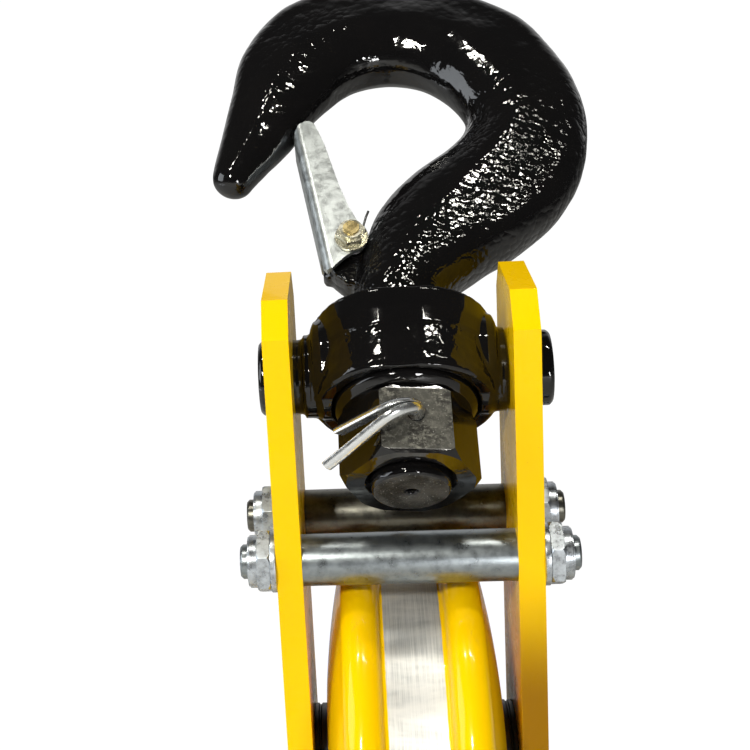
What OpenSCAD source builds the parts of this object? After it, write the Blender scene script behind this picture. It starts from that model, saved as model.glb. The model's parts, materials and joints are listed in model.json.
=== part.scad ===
// Single-sheave lifting block with a swivelling, tilting safety hook on top.
//
// Row frame: +Z up along the side plates, +X along the trunnion and axle, -Y is the front.
// The origin is the centre of the hook's seat, where the block hangs.
//
// Two local frames do most of the work:
//   block frame  origin on the trunnion axis midway between the side plates, axes as the row
//   hook frame   origin on the trunnion axis at the shank, +Z up the shank, tilted back by hook_lean

/* [Side plates] */
// Clear distance between the two side plates
plate_gap = 98; // [96:1:102]
// Thickness of a side plate
plate_t = 12; // [10:1:14]
// Width of a side plate, front to back
plate_w = 76; // [74:1:84]
// Plate top above the trunnion axis
plate_top = 45; // [42:1:50]
// Plate bottom below the axle
plate_bottom = 50; // [48:1:60]
// Corner cut-off, measured front to back
plate_cut_y = 13; // [8:1:16]
// Corner cut-off, measured up and down
plate_cut_z = 15; // [8:1:18]

/* [Tie rods] */
// Diameter of a tie rod between the plates
rod_d = 24; // [20:1:26]
// Distance of each tie rod in front of or behind the middle
rod_y = 26.5; // [24:0.5:27]
// Tie rods below the trunnion axis
rod_drop = 81; // [79:1:84]
// Thread diameter of the tie rod ends
rod_thread_d = 16; // [14:1:18]
// Tie rod end beyond the plate
rod_end = 17; // [15:1:20]
// Width across flats of the tie rod nuts
rod_nut_af = 27; // [24:1:28]

/* [Sheave] */
// Axle below the trunnion axis
axle_drop = 202; // [200:1:210]
// Axle diameter
axle_d = 40; // [36:1:42]
// Radius of the rope groove's flat bottom
groove_r = 96; // [90:1:98]
// Width of the rope groove's flat bottom
groove_w = 26; // [22:1:26]
// Radius of the round bead on each side of the groove
bead_r = 9; // [8:0.5:9.5]
// Half width the sheave would have at its centre
sheave_half_w = 43.9; // [42:0.1:44.5]
// Radius at which the curved side would meet the middle plane
side_curve_r = 148; // [140:1:156]

/* [Crosshead and shank] */
// Hook leaned back from the line of the side plates, degrees
hook_lean = 50; // [30:1:60]
// Crosshead pushed towards the right-hand plate by this much of its side play
side_play = 2; // [0:0.5:2]
// Half width of the crosshead body along the trunnion
body_half_x = 43; // [41:0.5:43]
// Half depth of the crosshead body, front to back
body_half_y = 37; // [36:0.5:38]
// Crosshead top above the trunnion axis
body_top = 25; // [24:0.5:25]
// Radius of the trunnion pins in the side plates
pin_r = 17.5; // [16:0.5:18]
// Half length of the crosshead over the pins
pin_half_x = 67.3; // [65:0.1:70]
// Shank diameter in the crosshead bush
shank_d = 40; // [38:1:40]
// Shank thread diameter in the nut
thread_d = 36; // [33:1:36]
// Shank end below the trunnion axis
shank_end = 62.5; // [61:0.5:64]
// Width across flats of the shank nut
nut_af = 55; // [52:1:56]
// Height of the shank nut
nut_h = 34.4; // [32:0.2:35]
// Turn of the nut about the shank, degrees
nut_turn = 7; // [0:1:20]

/* [Hook] */
// Radius of the hook's seat
seat_r = 36; // [35.5:0.1:36.5]
// Seat centre above the trunnion axis, along the shank
seat_s = 151; // [150:1:152]
// Length of the cylindrical land in the seat, where the forging reaches it
seat_land = 18; // [12:1:24]

/* [Latch] */
// Latch pivot from the shank axis
latch_u = -21.5; // [-22:0.5:-21]
// Latch pivot above the trunnion axis, along the shank
latch_s = 71; // [70:0.5:72]
// Latch lean away from the shank, degrees
latch_lean = 9.2; // [8.5:0.1:9.5]
// Latch length above its pivot
latch_len = 80; // [77:1:80]
// Latch sheet thickness
latch_t = 2.5; // [2:0.1:2.5]
// Half width of the latch, inside
latch_half_in = 9.5; // [9:0.5:10]

/* [Hidden] */

$fn = 72;
eps = 0.01;
fit = 0.05;                 // radial clearance of a running fit
half_gap = plate_gap / 2;
plate_out = half_gap + plate_t;
screw_clear = 0.1;          // radial clearance of a bolt or stud in its hole

// ---------------------------------------------------------------- frames

// Puts block-frame geometry into the row frame.
module block_frame() {
    translate([-side_play, -seat_s * sin(hook_lean), -seat_s * cos(hook_lean)])
        children();
}

// Puts hook-frame geometry into the row frame.
module hook_frame() {
    translate([0, -seat_s * sin(hook_lean), -seat_s * cos(hook_lean)])
        rotate([-hook_lean, 0, 0])
            children();
}

// Lays a part that is built along +Z onto the sheave axis, along +X.
module axle_frame() {
    block_frame()
        translate([0, 0, -axle_drop])
            rotate([0, 90, 0])
                children();
}

// Puts a copy on the left and on the right.
module both_sides() {
    children();
    mirror([1, 0, 0])
        children();
}

// Puts a copy at the right-hand and at the left-hand end of the axle.
module both_ends() {
    children();
    mirror([0, 0, 1])
        children();
}

// ---------------------------------------------------------------- shared shapes

// A ring about Z from z0 to z1.
module ring(r_in, r_out, z0, z1) {
    translate([0, 0, z0])
        difference() {
            cylinder(r = r_out, h = z1 - z0);
            translate([0, 0, -1])
                cylinder(r = r_in, h = z1 - z0 + 2);
        }
}

// A rod about Z from z0 to z1, with a chamfer c at both ends.
module chamfered_rod(r, z0, z1, c) {
    rotate_extrude()
        polygon([[0, z0], [r - c, z0], [r, z0 + c], [r, z1 - c], [r - c, z1], [0, z1]]);
}

// A hexagonal prism about Z with its corners turned off at both ends.
module hex_head(af, h, corner) {
    across = af / cos(30);
    intersection() {
        cylinder(d = across, h = h, $fn = 6);
        chamfered_rod(across / 2, 0, h, corner);
    }
}

// A hexagonal nut about Z.
module hex_nut(af, h, bore_r, corner) {
    difference() {
        hex_head(af, h, corner);
        translate([0, 0, -1])
            cylinder(r = bore_r, h = h + 2);
    }
}

// A list back to front.
function reversed(list) = [for (i = [len(list) - 1 : -1 : 0]) list[i]];

// A bar swept along frames. Each frame is a point and a direction across the bar; the section is a
// list of [along that direction, square to it].
module sweep(frames, section) {
    last = len(frames) - 1;
    n = len(section);
    points = [for (i = [0 : last])
                 let (at = frames[i][0], up = frames[i][1],
                      run = frames[min(last, i + 1)][0] - frames[max(0, i - 1)][0],
                      across = cross(run, up) / norm(cross(run, up)))
                     for (q = section) at + up * q[0] + across * q[1]];
    skin = [for (i = [0 : last - 1]) for (k = [0 : n - 1])
                let (a = i * n + k, b = i * n + (k + 1) % n)
                    each [[a, b, a + n], [b, b + n, a + n]]];
    start = [for (k = [0 : n - 1]) n - 1 - k];
    finish = [for (k = [0 : n - 1]) last * n + k];
    polyhedron(points, concat([start], skin, [finish]), convexity = 6);
}

// Balls spaced round a circle about Z.
module ball_row(count, pitch_r, ball_r) {
    for (i = [0 : count - 1])
        rotate([0, 0, i * 360 / count])
            translate([pitch_r, 0, 0])
                sphere(r = ball_r, $fn = 32);
}

// ---------------------------------------------------------------- side plates

plate_bottom_z = -axle_drop - plate_bottom;
stud_hole_r = rod_thread_d / 2 + screw_clear;

axle_recess = 3.5;          // axle end inside a plate's outer face
snap_t = 1.75;              // retaining ring of the axle, in a groove of the plate's bore
snap_deep = 1.25;           // depth of the groove
snap_out = axle_recess - 0.08 - snap_t;     // retaining ring inside a plate's outer face

// Outline of a side plate, in the plane of Y and Z.
module plate_outline() {
    w = plate_w / 2;
    cy = plate_cut_y;
    cz = plate_cut_z;
    top = plate_top;
    low = plate_bottom_z;
    polygon([[-w, low + cz], [-w, top - cz], [-w + cy, top], [w - cy, top], [w, top - cz],
             [w, low + cz], [w - cy, low], [-w + cy, low]]);
}

// The right-hand side plate; x0 is its inner face.
module plate_blank() {
    difference() {
        translate([half_gap, 0, 0])
            rotate([90, 0, 90])
                linear_extrude(plate_t)
                    plate_outline();
        rotate([0, 90, 0])
            cylinder(r = pin_r + fit, h = plate_out + 1);
        translate([0, 0, -axle_drop])
            rotate([0, 90, 0]) {
                cylinder(r = axle_d / 2 + fit, h = plate_out + 1);
                translate([0, 0, plate_out - snap_out - snap_t - fit])
                    cylinder(r = axle_d / 2 + snap_deep, h = snap_t + 2 * fit);
            }
        for (side = [-1, 1])
            translate([0, side * rod_y, -rod_drop])
                rotate([0, 90, 0])
                    cylinder(r = stud_hole_r, h = plate_out + 1);
    }
}

module side_plate_left() {
    color("gold")
        block_frame()
            mirror([1, 0, 0])
                plate_blank();
}

module side_plate_right() {
    color("gold")
        block_frame()
            plate_blank();
}

// ---------------------------------------------------------------- tie rods

rod_washer_t = 2.8;
rod_washer_r = 14.5;
rod_nut_h = 6.2;            // hexagonal part of a lock nut
rod_collar_h = 4.4;         // round collar that holds the locking ring
rod_collar_r = 12.2;
rod_lock_h = 2.4;
rod_lock_r = 10.2;

module tie_rod(side) {
    color("lightsteelblue")
        block_frame()
            translate([0, side * rod_y, -rod_drop])
                rotate([0, 90, 0]) {
                    cylinder(r = rod_d / 2, h = plate_gap, center = true);
                    chamfered_rod(rod_thread_d / 2, -plate_out - rod_end, plate_out + rod_end, 1.2);
                }
}

module tie_rod_front() {
    tie_rod(-1);
}

module tie_rod_rear() {
    tie_rod(1);
}

// Places one fastener at each of the four tie rod ends, +Z outwards from the plate's outer face.
module at_rod_ends() {
    block_frame()
        both_sides()
            for (side = [-1, 1])
                translate([plate_out, side * rod_y, -rod_drop])
                    rotate([0, 90, 0])
                        children();
}

module tie_rod_washers() {
    color("silver")
        at_rod_ends()
            ring(stud_hole_r, rod_washer_r, 0, rod_washer_t);
}

module tie_rod_nuts() {
    color("gainsboro")
        at_rod_ends()
            translate([0, 0, rod_washer_t]) {
                difference() {
                    union() {
                        hex_nut(rod_nut_af, rod_nut_h, stud_hole_r, 1.2);
                        ring(stud_hole_r, rod_collar_r, rod_nut_h - 1, rod_nut_h + rod_collar_h - 0.8);
                        ring(rod_lock_r - 0.6, rod_collar_r - 0.7, rod_nut_h, rod_nut_h + rod_collar_h);
                    }
                    translate([0, 0, rod_nut_h + rod_collar_h - 0.8 - rod_lock_h])
                        cylinder(r = rod_lock_r, h = rod_lock_h);
                }
            }
}

module tie_rod_lock_rings() {
    color("lightblue")
        at_rod_ends()
            translate([0, 0, rod_washer_t + rod_nut_h + rod_collar_h - 0.8 - rod_lock_h])
                ring(rod_thread_d / 2, rod_lock_r, 0, rod_lock_h);
}

// ---------------------------------------------------------------- axle

axle_r = axle_d / 2;
axle_half = plate_out - axle_recess;
grease_hole_r = 3;
nipple_bore_r = 4;
nipple_depth = 8;
nipple_seat = 12;           // counterbore that the nipple stands in
nipple_seat_r = 8;

module sheave_axle() {
    color("dimgray")
        axle_frame()
            difference() {
                chamfered_rod(axle_r, -axle_half, axle_half, 1.5);
                translate([0, 0, -axle_half - 1])
                    cylinder(r = nipple_seat_r, h = nipple_seat + 1);
                translate([0, 0, -axle_half])
                    cylinder(r = nipple_bore_r, h = nipple_seat + nipple_depth);
                translate([0, 0, -axle_half])
                    cylinder(r = grease_hole_r, h = axle_half + grease_hole_r);
                rotate([0, 90, 0])
                    cylinder(r = grease_hole_r, h = axle_r + 1);
            }
}

snap_r_in = 17.6;
snap_lug_r = 3.2;
snap_lug_at = 17.4;
snap_lug_turn = 17;         // each lug from the middle of the ring's gap, degrees

// One retaining ring of the axle, from z = 0 outwards, with its gap upwards.
module snap_ring() {
    difference() {
        union() {
            ring(snap_r_in, axle_r + snap_deep - 0.05, 0, snap_t);
            for (side = [-1, 1])
                rotate([0, 0, 180 + side * snap_lug_turn])
                    translate([snap_lug_at, 0, 0])
                        cylinder(r = snap_lug_r, h = snap_t);
        }
        translate([-axle_r - 5, -3.4, -1])
            cube([16, 6.8, snap_t + 2]);
        for (side = [-1, 1])
            rotate([0, 0, 180 + side * snap_lug_turn])
                translate([snap_lug_at - 0.4, 0, -1])
                    cylinder(r = 1.3, h = snap_t + 2);
    }
}

module axle_retaining_rings() {
    color("gray")
        axle_frame()
            both_ends()
                translate([0, 0, plate_out - snap_out - snap_t])
                    snap_ring();
}

module grease_nipple() {
    color("darkkhaki")
        axle_frame()
            translate([0, 0, nipple_seat - axle_half])
                rotate([180, 0, 0])
                    difference() {
                        rotate_extrude()
                            polygon([[0, -nipple_depth], [nipple_bore_r, -nipple_depth], [nipple_bore_r, 0],
                                     [5.2, 0], [5.2, 3.5], [3.2, 4.6], [2.4, 6], [2.4, 7.4], [3.3, 8.6],
                                     [3.3, 9.6], [2.2, 10.8], [0, 10.8]]);
                        translate([0, 0, -nipple_depth - 1])
                            cylinder(r = 1, h = nipple_depth + 13);
                    }
}

// ---------------------------------------------------------------- sheave bearings

brg_out = 38;               // outer face of a bearing from the middle plane
brg_w = 18;
brg_mid = brg_out - brg_w / 2;
brg_r = 40;                 // outer radius
brg_pitch_r = 30;
brg_ball_r = 5.8;
brg_ball_gap = 0.08;
brg_balls = 9;
brg_inner_land = 26;
brg_outer_land = 34.2;
spacer_r = 27;
ring_t = 2;                 // retaining ring
seal_t = 2;

// Cuts the ball track of a bearing that is centred on z = 0.
module ball_track() {
    rotate_extrude()
        translate([brg_pitch_r, 0])
            circle(r = brg_ball_r + brg_ball_gap);
}

// Puts a copy at each of the two sheave bearings.
module at_bearings() {
    axle_frame()
        for (end = [-1, 1])
            translate([0, 0, end * brg_mid])
                children();
}

module bearing_inner_rings() {
    color("silver")
        at_bearings()
            difference() {
                ring(axle_r + fit / 2, brg_inner_land, -brg_w / 2, brg_w / 2);
                ball_track();
            }
}

module bearing_outer_rings() {
    color("silver")
        at_bearings()
            difference() {
                ring(brg_outer_land, brg_r, -brg_w / 2, brg_w / 2);
                ball_track();
            }
}

cage_r_in = 28.6;
cage_r_out = 31.8;

module bearing_balls() {
    color("white")
        at_bearings()
            ball_row(brg_balls, brg_pitch_r, brg_ball_r);
}

module bearing_cages() {
    color("peru")
        at_bearings()
            difference() {
                ring(cage_r_in, cage_r_out, -7.2, 7.2);
                for (i = [0 : brg_balls - 1])
                    rotate([0, 90, i * 360 / brg_balls])
                        translate([0, 0, cage_r_in - 3])
                            cylinder(r = brg_ball_r + 0.15, h = 8);
            }
}

module bearing_sleeve() {
    color("dimgray")
        axle_frame()
            difference() {
                ring(axle_r + fit, brg_inner_land, -brg_out + brg_w, brg_out - brg_w);
                rotate([0, 90, 0])
                    cylinder(r = grease_hole_r, h = brg_inner_land + 1);
            }
}

// A spacer from a bearing's inner ring to the plate.
module axle_spacer(end) {
    color("black")
        axle_frame()
            mirror([0, 0, end < 0 ? 1 : 0])
                difference() {
                    ring(axle_r + fit, spacer_r, brg_out, half_gap);
                    translate([0, 0, half_gap - 3.4])
                        ring(spacer_r - 0.8, spacer_r + 1, 0, 1.2);
                }
}

module axle_spacer_left() {
    axle_spacer(-1);
}

module axle_spacer_right() {
    axle_spacer(1);
}

module bearing_retaining_rings() {
    color("gray")
        axle_frame()
            for (end = [-1, 1])
                translate([0, 0, end * (brg_out + ring_t / 2)])
                    difference() {
                        ring(37.4, 41.6, -ring_t / 2, ring_t / 2);
                        translate([36, -4, -ring_t])
                            cube([8, 8, 2 * ring_t]);
                    }
}

module bearing_seals() {
    color("dimgray")
        axle_frame()
            for (end = [-1, 1])
                translate([0, 0, end * (brg_out + ring_t + seal_t / 2)])
                    ring(spacer_r + 0.08, brg_r, -seal_t / 2, seal_t / 2);
}

// ---------------------------------------------------------------- sheave

// Half width of the sheave at radius rho, up to the bead.
function sheave_side(rho) = sheave_half_w * sqrt(1 - pow(rho / side_curve_r, 2));

bead_rho = groove_r + 1;    // bead centre from the axle
bead_x = sheave_side(bead_rho) - bead_r;    // bead centre from the middle plane
side_steps = 14;

// Side of the sheave from the bore to the bead: radius from the axle, distance from the middle plane.
function side_points(end) =
    let (top_rho = bead_rho - 6)
        [for (i = [0 : side_steps])
            let (rho = brg_r + (top_rho - brg_r) * i / side_steps)
                [rho, end * sheave_side(rho)]];

// Round bead between the side and the groove, from the side inwards.
function bead_points(end) =
    [for (a = [0 : 15 : 180])
        [bead_rho + bead_r * sin(a), end * (bead_x + bead_r * cos(a))]];

// The sheave's section: radius from the axle, distance from the middle plane.
module sheave_section() {
    groove = [[groove_r, groove_w / 2], [groove_r, -groove_w / 2]];
    polygon(concat(side_points(1), bead_points(1), groove, reversed(bead_points(-1)),
                   reversed(side_points(-1))));
}

module sheave() {
    color("gold")
        axle_frame()
            difference() {
                rotate_extrude($fn = 144)
                    sheave_section();
                for (end = [-1, 1])
                    translate([0, 0, end * (brg_out + ring_t / 2)])
                        ring(brg_r - 1, 42, -ring_t / 2 - 0.05, ring_t / 2 + 0.05);
            }
}

// ---------------------------------------------------------------- crosshead

body_low = -18.5;           // rim of the pocket under the body
pocket_top = -13.4;
pocket_gap = 0.9;
barrel_offset = body_half_x - body_half_y;
boss_r = 24;                // horizontal boss that carries the pins
boss_up = 3.5;              // its axis above the pins' axis, which leaves more metal on top
collar_r = 19.5;
collar_half_x = 46.5;
band_low = 4.3;
band_high = 13.3;
cap_r = 33;                 // bearing cap
cap_low = -23;
cap_high = -14;
bush_r = 23;
thrust_r = 30;
thrust_top = -1;
journal_low = -22;
neck_low = 26;              // the hook's shoulder

// Half outline of the barrel: distance from its own axis, height along the shank.
module barrel_outline() {
    r = body_half_y;
    polygon([[0, body_low], [r - 2.2, body_low], [r - 1.2, body_low + 1], [r - 0.6, body_low + 3.4],
             [r - 0.6, band_low - 0.5], [r, band_low], [r, band_high], [r - 1.4, body_top], [0, body_top]]);
}

module crosshead_body() {
    both_sides() {
        translate([barrel_offset, 0, 0])
            rotate_extrude($fn = 96)
                barrel_outline();
        translate([0, 0, boss_up])
            rotate([0, 90, 0])
                rotate_extrude()
                    polygon([[0, 0], [boss_r, 0], [boss_r, body_half_x - 5],
                             [boss_r - 1.5, body_half_x - 1.5], [boss_r - 5, body_half_x],
                             [0, body_half_x]]);
    }
    rotate([90, 0, 90])
        translate([0, 0, -barrel_offset])
            linear_extrude(2 * barrel_offset)
                union() {
                    barrel_outline();
                    mirror([1, 0])
                        barrel_outline();
                }
}

module crosshead() {
    color("black")
        hook_frame()
            union() {
                difference() {
                    crosshead_body();
                    // Flat top inside the two humps, pocket below for the bearing cap.
                    translate([0, 0, body_top])
                        cylinder(r = body_half_y, h = 10);
                    translate([0, 0, pocket_top - 30])
                        cylinder(r = cap_r + pocket_gap, h = 30);
                    translate([0, 0, -40])
                        cylinder(r = bush_r, h = 80);
                    translate([0, 0, -40])
                        cylinder(r = thrust_r, h = 40 + thrust_top);
                }
                both_sides()
                    rotate([0, 90, 0])
                        rotate_extrude()
                            polygon([[0, body_half_x - 2], [collar_r, body_half_x - 2], [collar_r, collar_half_x],
                                     [pin_r, collar_half_x], [pin_r, pin_half_x - 1.5],
                                     [pin_r - 1.5, pin_half_x], [0, pin_half_x]]);
            }
}

module crosshead_bush() {
    color("peru")
        hook_frame()
            ring(shank_d / 2 + fit, bush_r, thrust_top, body_top);
}

thrust_ball_r = 3.6;
thrust_pitch_r = 25.2;
thrust_mid = (thrust_top + cap_high) / 2;
thrust_washer_t = 4.2;
thrust_count = 16;

// Cuts the track of the thrust bearing's balls.
module thrust_track() {
    translate([0, 0, thrust_mid])
        rotate_extrude()
            translate([thrust_pitch_r, 0])
                circle(r = thrust_ball_r + brg_ball_gap, $fn = 48);
}

module thrust_washer_upper() {
    color("silver")
        hook_frame()
            difference() {
                ring(shank_d / 2 + 0.5, thrust_r, thrust_top - thrust_washer_t, thrust_top);
                thrust_track();
            }
}

module thrust_washer_lower() {
    color("silver")
        hook_frame()
            difference() {
                ring(shank_d / 2 + fit, thrust_r - 0.3, cap_high, cap_high + thrust_washer_t);
                thrust_track();
            }
}

module thrust_balls() {
    color("white")
        hook_frame()
            translate([0, 0, thrust_mid])
                ball_row(thrust_count, thrust_pitch_r, thrust_ball_r);
}

module thrust_cage() {
    color("peru")
        hook_frame()
            translate([0, 0, thrust_mid])
                difference() {
                    ring(thrust_pitch_r - 4.2, thrust_pitch_r + 4.2, -0.9, 0.9);
                    for (i = [0 : thrust_count - 1])
                        rotate([0, 0, i * 360 / thrust_count])
                            translate([thrust_pitch_r, 0, -2])
                                cylinder(r = thrust_ball_r + 0.12, h = 4);
                }
}

module bearing_cap() {
    color("black")
        hook_frame()
            rotate_extrude($fn = 96)
                polygon([[shank_d / 2 + fit, cap_low + 1], [thrust_r - 3, cap_low], [cap_r - 3, cap_low],
                         [cap_r, cap_low + 3], [cap_r, cap_high - 3.2], [cap_r - 1, cap_high - 1.2],
                         [cap_r - 3.2, cap_high], [shank_d / 2 + fit, cap_high]]);
}

// ---------------------------------------------------------------- shank nut and cotter pin

nut_top = cap_low;
cotter_hole_r = 3.9;
cotter_leg_r = 3.6;
cotter_s = nut_top - nut_h * 0.43;
cotter_bend_r = 10;         // bend of the legs where they leave the nut
cotter_bend = 133;
cotter_roll = -24;          // turn of the pin in its hole

module shank_nut() {
    color("black")
        hook_frame()
            difference() {
                translate([0, 0, nut_top - nut_h])
                    rotate([0, 0, nut_turn])
                        hex_nut(nut_af, nut_h, thread_d / 2 + fit, 3);
                translate([0, 0, nut_top - nut_h - eps])
                    cylinder(r1 = thread_d / 2 + 2.6, r2 = thread_d / 2, h = 2.6);
                cotter_hole();
            }
}

// The cross hole for the cotter pin, through the nut and the shank.
module cotter_hole() {
    translate([0, 0, cotter_s])
        rotate([90, 0, nut_turn])
            cylinder(r = cotter_hole_r, h = 2 * nut_af, center = true);
}

cotter_eye_r = 5.4;         // centre line of the eye
cotter_eye_y = nut_af / 2 + 8.4;
cotter_gap = 0.05;          // half the gap between the legs
cotter_half_round = [for (a = [0 : 30 : 180]) [cotter_leg_r * sin(a), cotter_leg_r * cos(a)]];

// Frames of one leg from the nut outwards: the leg runs to -Y, bends back round the nut on the -X
// side and ends straight. The splay is how steeply it leaves the plane between the two at its end.
function cotter_leg(side, leg_out, splay) =
    let (front = nut_af / 2 + 0.6, r = cotter_bend_r, bend = cotter_bend,
         corner = [for (a = [0 : bend / 7 : bend + eps])
                      [-r + r * cos(a), -front - r * sin(a),
                       side * (cotter_gap + splay * r * a * a / bend * PI / 360)]],
         last = corner[len(corner) - 1],
         finish = last + leg_out * [-sin(bend), -cos(bend), side * splay],
         start = [0, nut_af / 2 + 0.3, side * cotter_gap])
        [for (q = concat([start], corner, [finish])) [q, [0, 0, side]]];

// Frames of the eye at the back, from the upper leg round to the lower one.
cotter_eye = [for (a = [150 : -30 : -150])
                 [[0, cotter_eye_y + cotter_eye_r * cos(a), cotter_eye_r * sin(a)],
                  [0, cos(a), sin(a)]]];

cotter_frames = concat(reversed(cotter_leg(1, 23, 0.2)), cotter_eye, cotter_leg(-1, 35, 0));

module cotter_pin() {
    color("lightsteelblue")
        hook_frame()
            translate([0, 0, cotter_s])
                rotate([0, cotter_roll, nut_turn])
                    sweep(cotter_frames, cotter_half_round);
}

// ---------------------------------------------------------------- hook

// Stations from the neck to the point. Each is inner point, outer point, both in the plane of the
// hook as [from the shank axis, above the trunnion axis], then the half width at the ridge, the half
// width towards the outer edge, and how far out the ridge lies as a share of the depth.
hook_stations = [
    [-21.5, 26, 21.5, 26, 21.5, 21.5, 0.50],
    [-21.5, 45, 22.5, 41, 21.5, 21.5, 0.50],
    [-17, 68, 40, 55, 21.5, 20, 0.47],
    [-8.5, 92, 61, 69, 22, 17, 0.44],
    [8, 113, 81, 87, 22.5, 15, 0.42],
    [27, 128, 95, 111, 22.5, 14, 0.41],
    [37.5, 140, 101, 136, 22.5, 14, 0.41],
    [40, 153, 101, 160, 22.5, 14, 0.41],
    [32, 169, 94, 186, 22.5, 14, 0.41],
    [17.8, 181.5, 73, 222, 22.5, 14, 0.41],
    [0, 186.3, 34, 244, 22.5, 14, 0.41],
    [-17.8, 181.5, -12, 250.5, 22, 14, 0.41],
    [-31.5, 168.6, -52, 241, 20.5, 13, 0.42],
    [-43, 155, -76, 209, 18, 11.5, 0.43],
    [-50, 143, -83, 176, 15, 10.5, 0.45],
    [-60, 130, -88, 148, 12.5, 9.5, 0.48],
    [-70, 118.5, -91.5, 129, 10.8, 9.3, 0.50],
    [-72.3, 115.2, -92.1, 121, 9.9, 9.3, 0.50],
    [-75.5, 112.6, -90.4, 116.8, 7.4, 7.4, 0.50],
    [-79.2, 111.5, -87.6, 113.9, 4.2, 4.2, 0.50]];
hook_tip = [-83.7, 111.8];
nose_power = 1.3;           // how quickly the section falls away from its inner line
flank_power = 1.5;          // how hollow the flank is between the ridge and the outer edge
rim = 0.7;                  // share of the flank where the rounding of the outer edge begins
ridge_step = 6;             // difference of the two half widths at which the ridge is fully formed
ring_points = 24;
steps_per_station = 3;

// Smooth curve through p1 and p2, with p0 and p3 on either side.
function through(p0, p1, p2, p3, t) =
    0.5 * (2 * p1 + (p2 - p0) * t + (2 * p0 - 5 * p1 + 4 * p2 - p3) * t * t
           + (3 * p1 - p0 - 3 * p2 + p3) * t * t * t);

function station(i) = hook_stations[max(0, min(len(hook_stations) - 1, i))];

hook_rings = [for (i = [0 : len(hook_stations) - 2])
                  for (j = [0 : steps_per_station - 1])
                      through(station(i - 1), station(i), station(i + 1), station(i + 2),
                              j / steps_per_station),
              station(len(hook_stations) - 1)];

// Half width of the section h beyond the ridge, at share t of the way to the outer edge. A section
// with equal half widths is round; the others have a ridge, a hollow flank and a rounded edge.
function flank(h, t, s) =
    let (formed = max(0, min(1, (h[4] - h[5]) / ridge_step)),
         hollow = h[5] + (h[4] - h[5]) * pow(1 - t, flank_power),
         edge = sqrt(1 - pow(max(0, t - rim) / (1 - rim), 2)))
        (1 - formed) * s * (h[4] * (1 - t) + h[5] * t) + formed * hollow * edge;

// One ring of points round the section h, in the hook frame.
function section_ring(h) =
    let (inner = [h[0], h[1]], outer = [h[2], h[3]], depth = norm(outer - inner),
         along = (outer - inner) / depth, ridge = h[6] * depth)
        [for (k = [0 : ring_points - 1])
            let (a = 360 * k / ring_points, c = cos(a), s = sin(a),
                 formed = max(0, min(1, (h[4] - h[5]) / ridge_step)),
                 nose = 1 + (nose_power - 1) * formed,
                 x = c < -eps ? ridge * (1 - pow(-c, nose)) : ridge + (depth - ridge) * max(0, c),
                 y = c < eps ? h[4] * s : sign(s) * flank(h, c, abs(s)),
                 p = inner + along * x)
                [p[0], y, p[1]]];

module hook_forging() {
    n = ring_points;
    m = len(hook_rings);
    points = [for (h = hook_rings) for (p = section_ring(h)) p];
    start = [(station(0)[0] + station(0)[2]) / 2, 0, station(0)[1]];
    all_points = concat(points, [start, [hook_tip[0], 0, hook_tip[1]]]);
    skin = [for (i = [0 : m - 2]) for (k = [0 : n - 1])
                let (a = i * n + k, b = i * n + (k + 1) % n)
                    each [[a, a + n, b], [b, a + n, b + n]]];
    base = [for (k = [0 : n - 1]) [m * n, k, (k + 1) % n]];
    tip = [for (k = [0 : n - 1]) [m * n + 1, (m - 1) * n + (k + 1) % n, (m - 1) * n + k]];
    polyhedron(all_points, concat(skin, base, tip), convexity = 6);
}

lug_r = 9.2;
lug_front = 6;              // lug in front of the middle plane, leaving room for the spring
lug_back = latch_half_in - 0.4;
latch_bolt_r = 4;
stop_front = 1;             // the stop block starts this far behind the middle plane

// The lug that the latch straddles, rounded about the latch pivot, with a stop block below the web.
module latch_lug() {
    translate([latch_u, 0, latch_s])
        rotate([90, 0, 0]) {
            translate([0, 0, -lug_back])
                linear_extrude(lug_front + lug_back)
                    union() {
                        circle(r = lug_r);
                        polygon([[-lug_r + 0.1, 1], [-12.2, -3.5], [-11.6, -11.5], [-9, -16.5],
                                 [-4, -21.5], [9.5, -25], [13.5, 12], [0, lug_r - 0.1]]);
                    }
            translate([0, 0, -lug_back])
                linear_extrude(lug_back - stop_front)
                    polygon([[-14.5, -8.4], [-14.5, -12.4], [-13, -14.2], [8, -14.2], [8, -8.4]]);
        }
}

module hook() {
    color("black")
        hook_frame()
            difference() {
                union() {
                    hook_forging();
                    latch_lug();
                    translate([0, 0, journal_low])
                        cylinder(r = shank_d / 2, h = neck_low - journal_low + 1);
                    translate([0, 0, -shank_end])
                        rotate_extrude()
                            polygon([[0, 0], [thread_d / 2 - 1.6, 0], [thread_d / 2, 1.6],
                                     [thread_d / 2, shank_end + journal_low + 1],
                                     [0, shank_end + journal_low + 1]]);
                }
                // Cylindrical land of the seat.
                translate([0, 0, seat_s])
                    rotate([90, 0, 0])
                        cylinder(r = seat_r, h = seat_land, center = true, $fn = 96);
                translate([latch_u, 0, latch_s])
                    rotate([90, 0, 0])
                        cylinder(r = latch_bolt_r + fit, h = 60, center = true);
                // Centre drilling in the shank end.
                translate([0, 0, -shank_end - eps])
                    cylinder(r1 = 3.8, r2 = 2.3, h = 2);
                translate([0, 0, -shank_end])
                    cylinder(r = 2.3, h = 7);
                cotter_hole();
            }
}

// ---------------------------------------------------------------- latch

latch_half_out = latch_half_in + latch_t;
latch_back = 16.5;          // pivot to the outer face of the latch's web
latch_bend_r = 5;           // outer radius of the folds between the web and the sides
latch_eye_r = 7.4;
web_low = -4;               // web's lower edge

// Puts latch geometry at its pivot: local X across the latch, local Z along it.
module latch_frame() {
    hook_frame()
        translate([latch_u, 0, latch_s])
            rotate([0, -latch_lean, 0])
                children();
}

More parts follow.
